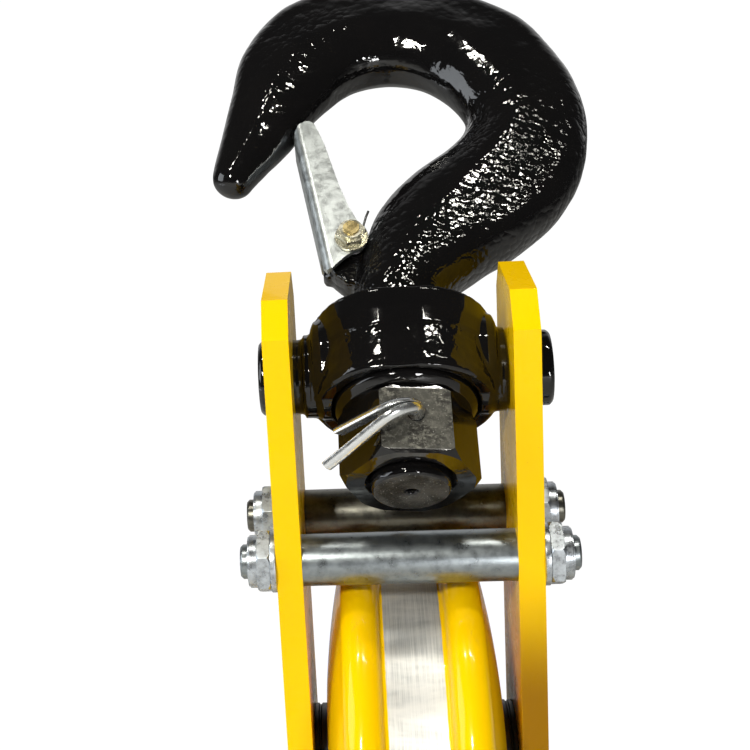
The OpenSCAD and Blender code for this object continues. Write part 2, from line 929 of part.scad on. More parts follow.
// Outline of the latch seen from the side: across, along.
module latch_side() {
    w = latch_back;
    polygon([[-w, -12.5], [-w + 1.4, -15.2], [-w + 4, -15.2], [-6, -10.5], [0, -latch_eye_r],
             [latch_eye_r, 0], [5.2, 9], [2.4, 20], [0.4, 34], [-0.7, 48], [-1.8, latch_len - 18],
             [-3.2, latch_len - 9], [-4.6, latch_len - 2.5], [-6.6, latch_len - 0.2],
             [-9, latch_len], [-w + 4, latch_len - 1.2], [-w + 1.2, latch_len - 5],
             [-w, latch_len - 10]]);
    circle(r = latch_eye_r);
}

// Section of the folded sheet across the latch, grown outwards by grow from its inner face.
module latch_fold(grow) {
    r = latch_bend_r - latch_t + grow;
    x = latch_bend_r - latch_back;
    y = latch_half_out - latch_bend_r;
    translate([x, -y - r])
        square([40, 2 * (y + r)]);
    translate([x - r, -y])
        square([40, 2 * y]);
    for (side = [-1, 1])
        translate([x, side * y])
            circle(r = r);
}

module safety_latch() {
    color("silver")
        latch_frame()
            difference() {
                intersection() {
                    rotate([90, 0, 0])
                        translate([0, 0, -latch_half_out])
                            linear_extrude(2 * latch_half_out)
                                latch_side();
                    translate([0, 0, -40])
                        linear_extrude(latch_len + 80)
                            difference() {
                                latch_fold(latch_t);
                                latch_fold(0);
                            }
                }
                // The web ends above the hook's stop block, and only the front side has a finger.
                translate([-latch_back - 1, latch_bend_r - latch_half_out, web_low - 30])
                    cube([latch_bend_r, 2 * latch_half_out, 30]);
                translate([-latch_back - 1, 0, -30 - latch_eye_r])
                    cube([40, latch_half_out + 1, 30]);
                rotate([90, 0, 0])
                    cylinder(r = latch_bolt_r + fit, h = 60, center = true);
            }
}

module latch_bolt() {
    color("silver")
        latch_frame()
            rotate([90, 0, 0])
                union() {
                    cylinder(r = latch_bolt_r, h = 2 * latch_half_out + 18, center = true);
                    translate([0, 0, -latch_half_out - 6])
                        hex_head(13, 5.5, 0.7);
                }
}

module latch_nut() {
    color("gainsboro")
        latch_frame()
            rotate([90, 0, 0])
                translate([0, 0, latch_half_out + 0.4])
                    union() {
                        hex_nut(13, 5.4, latch_bolt_r, 0.7);
                        ring(latch_bolt_r, 5.6, 5, 7.6);
                        ring(latch_bolt_r, 8.2, 0, 1.2);
                    }
}

wire_r = 0.6;
coil_r = 6;
coil_turns = 1.5;
coil_steps = 20;            // steps in one turn
coil_front = -latch_half_in + wire_r + 0.25;
coil_back = -lug_front - wire_r - 0.2;

// Centre line of the spring in the latch frame: a stub beside the web, the coil, a leg to the neck.
coil_path = let (n = round(coil_turns * coil_steps))
    concat([[-coil_r, coil_front, 6.6]],
           [for (i = [0 : n])
               let (a = 180 + 360 * i / coil_steps, t = i / n)
                   [coil_r * cos(a), coil_front + (coil_back - coil_front) * t, coil_r * sin(a)]],
           [[coil_r + 0.4, coil_back, 7], [coil_r + 4, coil_back, 15], [coil_r + 6, coil_back, 18.5]]);

module latch_spring() {
    color("gray")
        latch_frame()
            sweep([for (p = coil_path) [p, [0, 1, 0]]],
                  [for (a = [0 : 36 : 324]) [wire_r * cos(a), wire_r * sin(a)]]);
}

side_plate_left();
side_plate_right();
tie_rod_front();
tie_rod_rear();
tie_rod_washers();
tie_rod_nuts();
tie_rod_lock_rings();
sheave_axle();
axle_retaining_rings();
grease_nipple();
axle_spacer_left();
axle_spacer_right();
bearing_sleeve();
bearing_inner_rings();
sheave();
bearing_outer_rings();
bearing_retaining_rings();
bearing_seals();
bearing_balls();
bearing_cages();
crosshead();
crosshead_bush();
thrust_washer_upper();
thrust_washer_lower();
thrust_balls();
thrust_cage();
bearing_cap();
hook();
shank_nut();
cotter_pin();
safety_latch();
latch_bolt();
latch_nut();
latch_spring();
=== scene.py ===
"""Crane hook block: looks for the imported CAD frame.

Metres, in the CAD's row frame: the origin is the centre of the hook's seat, +Z runs up the side plates,
+X along the trunnion, and -Y is the front. A piece built here is drawn in mm in the hook's own frame
(across, back, up the shank), whose origin is where the shank crosses the trunnion's axis.
"""
import bpy
import json
import math
import numpy as np
from mathutils import Matrix, Vector, noise


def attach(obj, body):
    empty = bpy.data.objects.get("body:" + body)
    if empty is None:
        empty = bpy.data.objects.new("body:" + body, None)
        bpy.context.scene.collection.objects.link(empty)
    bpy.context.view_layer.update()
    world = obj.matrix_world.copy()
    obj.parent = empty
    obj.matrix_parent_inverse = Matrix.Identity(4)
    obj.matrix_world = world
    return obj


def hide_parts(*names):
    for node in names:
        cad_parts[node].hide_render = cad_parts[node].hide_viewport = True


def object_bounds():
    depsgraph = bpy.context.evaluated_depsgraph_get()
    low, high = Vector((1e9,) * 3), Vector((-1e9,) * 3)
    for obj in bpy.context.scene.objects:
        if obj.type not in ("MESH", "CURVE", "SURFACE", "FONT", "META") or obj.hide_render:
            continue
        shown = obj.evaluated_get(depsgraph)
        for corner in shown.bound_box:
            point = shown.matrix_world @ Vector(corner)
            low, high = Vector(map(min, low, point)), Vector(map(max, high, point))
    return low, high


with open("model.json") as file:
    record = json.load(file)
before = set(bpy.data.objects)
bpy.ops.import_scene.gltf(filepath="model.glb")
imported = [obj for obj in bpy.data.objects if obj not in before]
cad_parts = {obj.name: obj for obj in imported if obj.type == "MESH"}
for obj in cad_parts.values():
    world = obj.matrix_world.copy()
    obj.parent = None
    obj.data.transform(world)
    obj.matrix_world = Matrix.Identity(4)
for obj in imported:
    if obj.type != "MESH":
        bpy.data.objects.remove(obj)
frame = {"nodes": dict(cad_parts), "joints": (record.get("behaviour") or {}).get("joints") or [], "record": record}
CAD_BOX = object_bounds()
MM = 0.001

# ------------------------------------------------------------------ the block's own axes

JOINT = {joint["name"]: joint for joint in frame["joints"]}
BODY = {node: body for body, nodes in frame["record"]["behaviour"]["bodies"].items() for node in nodes}
SLOT = {row["node"]: row["material_slot"] for row in frame["record"]["subparts"]}

SIDE = Vector((1, 0, 0))
UP = Vector(JOINT["swivel"]["axis"]).normalized()           # along the shank, away from the nut
BACK = Vector(JOINT["latch_hinge"]["axis"]).normalized()    # square to the hook's plane, away from the front
TRUNNION = Vector(JOINT["swivel"]["pos_m"])                 # on the shank's axis
AXLE = Vector(JOINT["sheave_spin"]["pos_m"])                # midway between the side plates
BLOCK = Vector((AXLE.x, TRUNNION.y, TRUNNION.z))            # on the trunnion's axis, midway between the plates
SEAT_UP = -TRUNNION.dot(UP)                                 # seat centre above the trunnion, along the shank
HOOK_AXES = Matrix((SIDE, BACK, UP)).transposed()

SEAT_R = 36 * MM            # the hook's seat
NUT_TURN = math.radians(7)  # of the nut on the shank, and of the cotter pin through it
NUT_TOP = -23               # nut, in mm above the trunnion's axis
NUT_HEIGHT = 34.4
SHANK_END = -62.5


def from_hook(p):
    """A point in mm in the hook's own frame as a point in the row frame."""
    return TRUNNION + HOOK_AXES @ (Vector(p) * MM)


def to_hook(co):
    """Row-frame points as the hook's own (across, back, up the shank), in metres."""
    return (co - np.array(TRUNNION)) @ np.array(HOOK_AXES)


# ------------------------------------------------------------------ shader building

class Shader:
    """A node material with short calls for the nodes used here. Positions are the row frame's, at rest."""

    def __init__(self, name):
        self.mat = bpy.data.materials.new(name)
        self.mat.use_nodes = True
        self.nodes = self.mat.node_tree.nodes
        self.links = self.mat.node_tree.links
        self.bsdf = self.nodes["Principled BSDF"]
        self.co = self.nodes.new("ShaderNodeTexCoord").outputs["Object"]
        self.geometry = self.nodes.new("ShaderNodeNewGeometry")

    def put(self, socket, value):
        if isinstance(value, bpy.types.NodeSocket):
            self.links.new(value, socket)
        elif isinstance(value, tuple) and len(value) == 3 and len(socket.default_value) == 4:
            socket.default_value = (*value, 1)
        else:
            socket.default_value = value

    def set(self, **inputs):
        """Sets the Principled BSDF's inputs, with _ for each space in a name."""
        for key, value in inputs.items():
            self.put(self.bsdf.inputs[key.replace("_", " ")], value)
        return self

    def math(self, op, a, b=0.0):
        n = self.nodes.new("ShaderNodeMath")
        n.operation = op
        self.put(n.inputs[0], a)
        self.put(n.inputs[1], b)
        return n.outputs[0]

    def times(self, a, b):
        return self.math("MULTIPLY", a, b)

    def plus(self, a, b):
        return self.math("ADD", a, b)

    def most(self, a, b):
        return self.math("MAXIMUM", a, b)

    def vector(self, op, a, b=(0, 0, 0)):
        n = self.nodes.new("ShaderNodeVectorMath")
        n.operation = op
        self.put(n.inputs[0], a)
        self.put(n.inputs[1], b)
        return n.outputs["Value" if op in ("DOT_PRODUCT", "LENGTH") else "Vector"]

    def along(self, axis, origin):
        """How far a point lies from origin along axis."""
        return self.math("SUBTRACT", self.vector("DOT_PRODUCT", self.co, tuple(axis)), axis.dot(origin))

    def distance(self, origin):
        return self.vector("LENGTH", self.vector("SUBTRACT", self.co, tuple(origin)))

    def radius_from_axle(self):
        y, z = (self.along(Vector(axis), AXLE) for axis in ((0, 1, 0), (0, 0, 1)))
        return self.math("SQRT", self.plus(self.times(y, y), self.times(z, z)))

    def scaled(self, x, y, z):
        return self.vector("MULTIPLY", self.co, (x, y, z))

    def noise(self, scale, detail=3.0, rough=0.55, at=None, warp=0.0, out="Fac"):
        n = self.nodes.new("ShaderNodeTexNoise")
        n.inputs["Scale"].default_value = scale
        n.inputs["Detail"].default_value = detail
        n.inputs["Roughness"].default_value = rough
        n.inputs["Distortion"].default_value = warp
        self.links.new(at or self.co, n.inputs["Vector"])
        return n.outputs[out]

    def cells(self, scale, at):
        """Distance from the nearest of many scattered points."""
        n = self.nodes.new("ShaderNodeTexVoronoi")
        n.inputs["Scale"].default_value = scale
        self.links.new(at, n.inputs["Vector"])
        return n.outputs["Distance"]

    def span(self, value, low, high, to_low=0.0, to_high=1.0):
        """value between low and high, as a number that eases from to_low to to_high."""
        n = self.nodes.new("ShaderNodeMapRange")
        n.interpolation_type = "SMOOTHSTEP"
        self.put(n.inputs["Value"], value)
        for key, x in (("From Min", low), ("From Max", high), ("To Min", to_low), ("To Max", to_high)):
            self.put(n.inputs[key], x)
        return n.outputs["Result"]

    def mix(self, fac, a, b):
        n = self.nodes.new("ShaderNodeMix")
        n.data_type = "RGBA"
        self.put(n.inputs[0], fac)
        self.put(n.inputs[6], a)
        self.put(n.inputs[7], b)
        return n.outputs[2]

    def bump(self, height, strength, distance, under=None):
        n = self.nodes.new("ShaderNodeBump")
        n.inputs["Strength"].default_value = strength
        n.inputs["Distance"].default_value = distance
        self.put(n.inputs["Height"], height)
        if under:
            self.links.new(under, n.inputs["Normal"])
        return n.outputs["Normal"]

    def edges(self, radius):
        """1 on edges sharper than radius, 0 on flat ground."""
        n = self.nodes.new("ShaderNodeBevel")
        n.samples = 4
        n.inputs["Radius"].default_value = radius
        same = self.vector("DOT_PRODUCT", n.outputs["Normal"], self.geometry.outputs["Normal"])
        return self.span(same, 0.995, 0.86)

    def facing(self, direction, low, high):
        """1 where the surface faces the direction, in the row frame at rest."""
        n = self.nodes.new("ShaderNodeVectorTransform")
        n.vector_type = "NORMAL"
        n.convert_from = "WORLD"
        n.convert_to = "OBJECT"
        self.links.new(self.geometry.outputs["Normal"], n.inputs[0])
        return self.span(self.vector("DOT_PRODUCT", n.outputs[0], tuple(direction)), low, high)


# ------------------------------------------------------------------ masks on the block

def coarse_scale(s):
    """The hook's skin is coarsest round the outside of its bowl and down the neck."""
    bowl = s.distance(from_hook((72, -12, 118)))
    neck = s.math("ABSOLUTE", s.along(UP, from_hook((0, 0, 62))))
    arm = s.distance(from_hook((-45, -18, 185)))
    coarse = s.most(s.span(bowl, 69 * MM, 32 * MM), s.span(neck, 44 * MM, 18 * MM))
    coarse = s.most(coarse, s.span(arm, 55 * MM, 30 * MM, 0, 0.7))
    return s.times(coarse, s.span(s.noise(28, 3), 0.35, 0.6, 0.45, 1.0))


def machined_crosshead(s):
    """Machined ground on the crosshead: the band round it, its pins and its underside."""
    h = s.along(UP, TRUNNION)
    band = s.times(s.span(h, 3.6 * MM, 4.5 * MM), s.span(h, 23.6 * MM, 22.6 * MM))
    pins = s.span(s.math("ABSOLUTE", s.along(SIDE, TRUNNION)), 42.5 * MM, 44 * MM)
    underside = s.span(h, -17.4 * MM, -18.4 * MM)
    return s.most(s.most(band, pins), underside)


def coarse_casting(s):
    """The casting is coarsest in a strip below the band, and in a few patches elsewhere."""
    h = s.along(UP, TRUNNION)
    strip = s.times(s.span(h, -3 * MM, 1 * MM), s.span(h, 4.6 * MM, 3.6 * MM))
    strip = s.times(strip, s.span(s.noise(70, 2), 0.44, 0.60, 0.1, 0.75))
    return s.most(strip, s.span(s.noise(45, 2), 0.54, 0.68, 0.0, 0.4))


def nut_front(s):
    """The nut's front flat, between its chamfers."""
    h = s.along(UP, TRUNNION)
    low, high = (NUT_TOP - NUT_HEIGHT) * MM, NUT_TOP * MM
    flat = s.facing(Matrix.Rotation(NUT_TURN, 3, UP) @ -BACK, 0.93, 0.97)
    edge = s.times(s.span(h, low + 1.6 * MM, low + 2.9 * MM), s.span(h, high - 1.3 * MM, high - 2.6 * MM))
    return s.times(flat, edge)


def shank_end(s):
    low = s.span(s.along(UP, TRUNNION), (SHANK_END + 1.9) * MM, (SHANK_END + 1.3) * MM)
    return s.times(low, s.facing(-UP, 0.8, 0.93))


# ------------------------------------------------------------------ materials

YELLOW = (0.91, 0.555, 0.0005)
YELLOW_DEEP = (0.86, 0.50, 0.001)
YELLOW_SHADED = (0.20, 0.075, 0.0)
BLACK = (0.0022, 0.0022, 0.0025)
BLACK_WARM = (0.0050, 0.0045, 0.0045)


def yellow_enamel(name):
    """Sprayed yellow enamel: orange peel, faint shade changes, dust specks and rubbed edges, and painted shade low
    on the right plate's front edge.
    """
    s = Shader(name)
    shade = s.mix(s.noise(26, 4), YELLOW, YELLOW_DEEP)
    colour = s.mix(s.span(s.noise(9, 3), 0.35, 0.75), YELLOW, shade)
    specks = s.times(s.span(s.noise(900, 2, 0.6), 0.745, 0.79), s.span(s.noise(55, 2), 0.5, 0.62))
    colour = s.mix(specks, colour, (0.22, 0.14, 0.03))
    rub = s.times(s.edges(1.2 * MM), s.span(s.noise(170, 4, 0.65), 0.60, 0.72))
    colour = s.mix(s.times(rub, 0.75), colour, (0.30, 0.20, 0.05))
    # Painted shade: the right plate's front edge is darkened low down, beside the sheave.
    right = s.times(s.span(s.along(SIDE, BLOCK), 45 * MM, 50 * MM), s.facing(Vector((0, -1, 0)), 0.5, 0.8))
    painted_shade = s.times(s.span(s.along(Vector((0, 0, 1)), BLOCK), -80 * MM, -150 * MM), right)
    colour = s.mix(s.times(painted_shade, 0.85), colour, YELLOW_SHADED)
    peel = s.plus(s.times(s.noise(520, 3), 0.7), s.times(s.noise(60, 2), 1.4))
    peel = s.math("SUBTRACT", peel, s.times(rub, 0.8))
    s.set(Base_Color=colour, Roughness=s.span(s.noise(60, 4), 0.3, 0.7, 0.24, 0.36),
          Specular_IOR_Level=0.05, Coat_Weight=0.18, Coat_Roughness=0.04, Normal=s.bump(peel, 0.30, 0.0003))
    return s, colour


def sheave_enamel():
    """The same enamel, with the rope groove's floor turned bright and streaked by rope."""
    s, colour = yellow_enamel("sheave_enamel")
    r = s.radius_from_axle()
    x = s.math("ABSOLUTE", s.along(SIDE, AXLE))
    wobble = s.times(s.math("SUBTRACT", s.noise(160, 3), 0.5), 0.6 * MM)
    floor = s.times(s.span(s.plus(r, wobble), 96.8 * MM, 96.4 * MM),
                    s.span(s.plus(x, wobble), 13.4 * MM, 13 * MM))
    floor = s.times(floor, s.span(r, 80 * MM, 85 * MM))
    streak = s.noise(1, 4, 0.7, at=s.scaled(2600, 26, 26))
    fine = s.noise(1, 3, 0.6, at=s.scaled(7000, 60, 60))
    patch = s.noise(1, 4, 0.6, at=s.scaled(14, 46, 46), warp=0.4)
    steel = s.mix(s.span(streak, 0.3, 0.7), (0.42, 0.43, 0.43), (0.70, 0.70, 0.68))
    steel = s.mix(s.span(patch, 0.42, 0.66), steel, (0.78, 0.77, 0.74))
    steel = s.mix(s.span(patch, 0.46, 0.30, 0, 0.55), steel, (0.24, 0.25, 0.26))
    steel = s.mix(s.span(fine, 0.62, 0.78, 0, 0.6), steel, (0.25, 0.24, 0.22))
    grooves = s.times(s.plus(s.times(streak, 0.6), s.times(fine, 0.5)), floor)
    s.set(Base_Color=s.mix(floor, colour, steel), Metallic=s.times(floor, 0.55),
          Roughness=s.span(floor, 0, 1, 0.24, 0.42), Coat_Weight=s.span(floor, 0, 1, 0.4, 0.0),
          Normal=s.bump(grooves, 0.35, 0.00012, under=s.bump(s.noise(60, 2), 0.08, 0.0004)))
    return s.mat


def black_gloss(name, relief, smooth=None, rugged=None, bare=None):
    """Thick black gloss over a rough skin. smooth, rugged and bare each map a shader to a 0..1 mask of
    machined ground, of coarse skin and of bare steel; bare comes with the steel's own arguments."""
    s = Shader(name)
    drift = s.vector("MULTIPLY", s.noise(90, 2.0, 0.5, out="Color"), (0.004,) * 3)
    domes = s.math("POWER", s.cells(265, at=s.vector("ADD", s.co, drift)), 2.0)
    grains = s.math("SUBTRACT", s.times(s.noise(700, 1, 0.5), 0.25), s.times(domes, 1.1))
    coarse = s.span(rugged(s), 0, 1, 0.22, 1.15) if rugged else 0.35
    height = s.plus(s.times(grains, coarse), s.times(s.noise(120, 1, 0.5), 0.9))
    if smooth:
        height = s.times(height, s.span(smooth(s), 0, 1, 1.0, 0.05))
    dust = s.times(s.span(s.noise(1500, 2), 0.70, 0.76), s.span(s.noise(70, 2), 0.55, 0.65))
    colour = s.mix(s.noise(40, 3), BLACK, BLACK_WARM)
    colour = s.mix(s.times(dust, 0.5), colour, (0.12, 0.10, 0.07))
    rough = s.span(s.noise(90, 3), 0.3, 0.7, 0.03, 0.08)
    metal = 0.0
    if bare:
        mask, steel = bare[0](s), mottled_steel(s, *bare[1:])
        colour = s.mix(mask, colour, steel)
        rough = s.mix(mask, rough, (0.58, 0.58, 0.58))
        metal = s.times(mask, 0.35)
        height = s.mix(mask, height, s.times(s.noise(700, 4, 0.7), 0.9))
    s.set(Base_Color=colour, Roughness=rough, Metallic=metal, Normal=s.bump(height, 0.34 * relief, 0.0011))
    return s.mat


def mottled_steel(s, scale, dark, light, share):
    """Dull bare steel under a thin black film, with dusty patches: light over about that share of it."""
    patch = s.noise(scale, 5, 0.7)
    grey = s.mix(s.span(patch, 0.88 - share, 1.12 - share), dark, light)
    grey = s.mix(s.span(s.noise(95, 3), 0.38, 0.62, 0, 0.7), grey, tuple(c * 0.35 for c in light))
    return s.mix(s.span(s.noise(1500, 3), 0.66, 0.72), grey, (0.50, 0.49, 0.44))


def zinc(name, tint=(0.55, 0.59, 0.63), rough=(0.24, 0.36), grain=(700, 700, 700), deep=0.5):
    """Zinc plate: crystalline patches, small scratches and a darker film, deep times as bright, in places."""
    s = Shader(name)
    patch = s.noise(210, 4, 0.65)
    colour = s.mix(s.span(patch, 0.30, 0.64), tuple(c * deep for c in tint), tint)
    colour = s.mix(s.span(s.noise(60, 3), 0.55, 0.72, 0, 0.5), colour, tuple(c * 1.22 for c in tint))
    streak = s.noise(1, 4, 0.65, at=s.scaled(*grain))
    colour = s.mix(s.span(streak, 0.62, 0.74, 0, 0.55), colour, (0.16, 0.15, 0.14))
    height = s.plus(s.times(patch, 0.7), s.times(streak, 0.5))
    s.set(Base_Color=colour, Metallic=0.95, Roughness=s.span(patch, 0.3, 0.7, *rough),
          Normal=s.bump(height, 0.30, 0.0002))
    return s.mat


def cotter_wire():
    """Bright drawn wire with a brown heat tint where it was bent."""
    s = Shader("cotter_wire")
    near = s.distance(from_hook((1, -31, -35)))
    tint = s.times(s.span(near, 8.5 * MM, 3 * MM), s.span(s.noise(160, 2), 0.35, 0.55))
    patch = s.noise(210, 4, 0.65)
    height = s.plus(s.times(patch, 0.7), s.times(s.noise(1, 4, 0.65, at=s.scaled(500, 500, 500)), 0.5))
    s.set(Base_Color=s.mix(tint, (0.76, 0.78, 0.79), (0.40, 0.22, 0.05)), Metallic=0.95,
          Roughness=s.span(patch, 0.3, 0.7, 0.14, 0.30), Normal=s.bump(height, 0.30, 0.0002))
    return s.mat


def plain(name, a, b, metallic, rough, bump=0.2, coat=0.0):
    """A quiet material for small parts and parts inside: two shades, uneven roughness and fine bumps."""
    s = Shader(name)
    n = s.noise(180, 4, 0.6)
    s.set(Base_Color=s.mix(n, a, b), Metallic=metallic, Roughness=s.span(n, 0.3, 0.7, *rough),
          Coat_Weight=coat, Normal=s.bump(s.noise(720, 3), bump, 0.0002))
    return s.mat


BY_SLOT = {
    "plate_paint": yellow_enamel("plate_enamel")[0].mat,
    "sheave_paint": sheave_enamel(),
    "zinc": zinc("zinc_plate"),
    "lock_ring": plain("nylon_ring", (0.10, 0.16, 0.28), (0.16, 0.24, 0.38), 0.0, (0.4, 0.6)),
    "latch_plate": zinc("latch_zinc", (0.66, 0.70, 0.70), (0.28, 0.42), (260, 260, 1300), 0.85),
    "latch_nut": plain("yellow_zinc", (0.62, 0.57, 0.38), (0.80, 0.79, 0.70), 0.9, (0.18, 0.34)),
    "ground_steel": plain("ground_steel", (0.50, 0.50, 0.50), (0.66, 0.66, 0.65), 1.0, (0.16, 0.32)),
    "spring_steel": plain("spring_steel", (0.10, 0.10, 0.105), (0.22, 0.22, 0.22), 1.0, (0.25, 0.45)),
    "balls": plain("ball_steel", (0.74, 0.74, 0.76), (0.82, 0.82, 0.84), 1.0, (0.05, 0.10), bump=0.02),
    "bronze": plain("bronze", (0.42, 0.25, 0.10), (0.60, 0.40, 0.18), 1.0, (0.28, 0.46)),
    "black_plastic": plain("spacer_black", (0.008, 0.008, 0.008), (0.02, 0.02, 0.02), 0.0, (0.28, 0.5),
                           coat=0.2),
    "seal_rubber": plain("seal_rubber", (0.012, 0.012, 0.012), (0.03, 0.028, 0.026), 0.0, (0.55, 0.75)),
}
ROD_GRAIN = (40, 1400, 1400)
BY_NODE = {
    "tie_rod_front": zinc("zinc_rod", (0.29, 0.32, 0.335), (0.27, 0.35), ROD_GRAIN, 0.72),
    # Painted shade and painted reflection: the rear rod's zinc is a darker, browner copy of the front rod's, for
    # the shade it lies in and the dark hook it reflects.
    "tie_rod_rear": zinc("zinc_rod_rear_painted_shade", (0.17, 0.165, 0.14), (0.27, 0.35), ROD_GRAIN, 0.6),
    "latch_bolt": plain("bolt_zinc", (0.50, 0.36, 0.12), (0.72, 0.60, 0.32), 0.9, (0.2, 0.38)),
    "cotter_pin": cotter_wire(),
    "hook": black_gloss("forged_black", 1.0, rugged=coarse_scale,
                        bare=(shank_end, 330, (0.0, 0.0, 0.0), (0.16, 0.16, 0.155), 0.30)),
    "shank_nut": black_gloss("nut_black", 0.22,
                             bare=(nut_front, 420, (0.010, 0.009, 0.007), (0.19, 0.185, 0.155), 0.44)),
    "crosshead": black_gloss("cast_black", 0.9, smooth=machined_crosshead, rugged=coarse_casting),
    "bearing_cap": black_gloss("turned_black", 0.35),
}


def material_for(node):
    return BY_NODE.get(node) or BY_SLOT[SLOT[node]]


# ------------------------------------------------------------------ CAD nodes: edges and materials

# Width of the rounded edges, in mm, and how many steps they have.
ROUNDING = {
    "side_plate_left": (0.9, 3), "side_plate_right": (0.9, 3),
    "tie_rod_nuts": (0.7, 3), "tie_rod_washers": (0.4, 2), "shank_nut": (0.8, 3),
    "safety_latch": (0.55, 3), "latch_bolt": (0.3, 2), "latch_nut": (0.3, 2), "bearing_cap": (0.8, 3),
    "axle_retaining_rings": (0.15, 2), "axle_spacer_left": (0.4, 2), "axle_spacer_right": (0.4, 2),
}
SAME_POINT = 0.002 * MM     # mesh points closer than this are one


def weld(obj):
    obj.modifiers.new("weld", "WELD").merge_threshold = SAME_POINT


def round_edges(obj, width, steps, angle):
    bevel = obj.modifiers.new("round", "BEVEL")
    bevel.width = width * MM
    bevel.segments = steps
    bevel.limit_method = "ANGLE"
    bevel.angle_limit = math.radians(angle)


def dress(node, obj):
    """Gives a CAD node its material, rounds its sharp edges with modifiers and evens its shading."""
    obj.data.materials.clear()
    obj.data.materials.append(material_for(node))
    custom = obj.data.attributes.get("custom_normal")
    if custom:
        obj.data.attributes.remove(custom)
    obj.data.shade_smooth()
    weld(obj)
    if node in ROUNDING:
        flat = obj.modifiers.new("flat", "DECIMATE")
        flat.decimate_type = "DISSOLVE"
        flat.angle_limit = math.radians(0.4)
        round_edges(obj, *ROUNDING[node], 28)
    else:
        obj.data.set_sharp_from_angle(angle=math.radians(32))
    obj.modifiers.new("even", "WEIGHTED_NORMAL").keep_sharp = node not in ROUNDING


# ------------------------------------------------------------------ meshes built here

def new_piece(name, verts, faces):
    mesh = bpy.data.meshes.new(name)
    mesh.from_pydata([tuple(v) for v in verts], [], faces)
    mesh.validate()
    mesh.update()
    obj = bpy.data.objects.new(name, mesh)
    bpy.context.scene.collection.objects.link(obj)
    return obj


def apply_modifiers(obj):
    depsgraph = bpy.context.evaluated_depsgraph_get()
    mesh = bpy.data.meshes.new_from_object(obj.evaluated_get(depsgraph))
    obj.modifiers.clear()
    obj.data = mesh


def fuse(obj, size, smoothing):
    """Fuses a piece's overlapping closed shells into one even skin of that voxel size, then smooths it."""
    m = obj.modifiers.new("voxel", "REMESH")
    m.mode = "VOXEL"
    m.voxel_size = size
    m.use_smooth_shade = True
    apply_modifiers(obj)
    m = obj.modifiers.new("smooth", "SMOOTH")
    m.factor = 0.5
    m.iterations = smoothing
    apply_modifiers(obj)


def points_of(obj):
    co = np.empty(len(obj.data.vertices) * 3)
    obj.data.vertices.foreach_get("co", co)
    normals = np.empty_like(co)
    obj.data.vertices.foreach_get("normal", normals)
    return co.reshape(-1, 3), normals.reshape(-1, 3)


def set_points(obj, co):
    obj.data.vertices.foreach_set("co", co.ravel())
    obj.data.update()


def lumps(co, scale, seed):
    """Smooth noise between -1 and 1 at each point."""
    shift = Vector((seed * 3.7, seed * 1.3, seed * 7.1))
    return np.array([noise.noise(Vector(p) * scale + shift) for p in co])


def step(x, low, high):
    """0 at low and 1 at high, in mm, for x in metres; low may be the greater."""
    t = np.clip((x / MM - low) / (high - low), 0, 1)
    return t * t * (3 - 2 * t)


def tube(rings, count):
    """Closed skin over rings of count points each, the first and last ring capped flat."""
    last = (len(rings) - 1) * count
    faces = [(i + k, i + (k + 1) % count, i + count + (k + 1) % count, i + count + k)
             for i in range(0, last, count) for k in range(count)]
    faces += [tuple(reversed(range(count))), tuple(last + k for k in range(count))]
    return [p for ring in rings for p in ring], faces


def lathe(outline, count=64):
    """Closed skin of a turned shape: outline is (radius, height) from the low end to the high end."""
    angles = 2 * math.pi * np.arange(count) / count
    return tube([[(r * math.cos(a), r * math.sin(a), z) for a in angles] for r, z in outline], count)


def slab(outline, y0, y1):
    """Closed prism of an outline in the hook's plane, from y0 to y1."""
    n = len(outline)
    verts = [(u, y, s) for y in (y0, y1) for u, s in outline]
    faces = [(k, n + k, n + (k + 1) % n, (k + 1) % n) for k in range(n)]
    faces += [tuple(range(n)), tuple(n + k for k in reversed(range(n)))]
    return verts, faces


def joined(*shells):
    verts, faces = [], []
    for v, f in shells:
        faces += [tuple(i + len(verts) for i in face) for face in f]
        verts += v
    return verts, faces


# ------------------------------------------------------------------ hook

# Stations from the neck to the point, in mm: inner point and outer point in the hook's plane (across,
# up the shank), half width at the ridge, half width near the outer edge, and where the ridge lies, as a
# share of the way from the inner point to the outer one.
STATIONS = [
    (-21.5, 26, 21.5, 26, 21.5, 21.5, 0.50), (-21.5, 45, 22.5, 41, 21.5, 21.5, 0.50),
    (-17, 68, 40, 55, 21.5, 20, 0.47), (-8.5, 92, 61, 69, 22, 17, 0.44),
    (8, 113, 81, 87, 22.5, 15, 0.42), (27, 128, 95, 111, 22.5, 14, 0.41),
    (37.5, 140, 101, 136, 22.5, 14, 0.41), (40, 153, 101, 160, 22.5, 14, 0.41),
    (32, 169, 94, 186, 22.5, 14, 0.41), (17.8, 181.5, 73, 222, 22.5, 14, 0.41),
    (0, 186.3, 34, 244, 22.5, 14, 0.41), (-17.8, 181.5, -12, 250.5, 22, 14, 0.41),
    (-31.5, 168.6, -52, 241, 20.5, 13, 0.42), (-43, 155, -76, 209, 18, 11.5, 0.43),
    (-50, 143, -83, 176, 15, 10.5, 0.45), (-60, 130, -88, 148, 12.5, 9.5, 0.48),
    (-70, 118.5, -91.5, 129, 10.8, 9.3, 0.50), (-72.3, 115.2, -92.1, 121, 9.9, 9.3, 0.50),
    (-75.5, 112.6, -90.4, 116.8, 7.4, 7.4, 0.50), (-79.2, 111.5, -87.6, 113.9, 4.2, 4.2, 0.50),
]
TIP = (-83.7, 0, 111.8)
SHOULDER = (0, 0, STATIONS[0][1])
FULL_RIDGE = 6      # mm by which a fully formed ridge is wider than the outer edge, each side
RIM = 0.7           # share of the flank before it rounds over to the outer edge


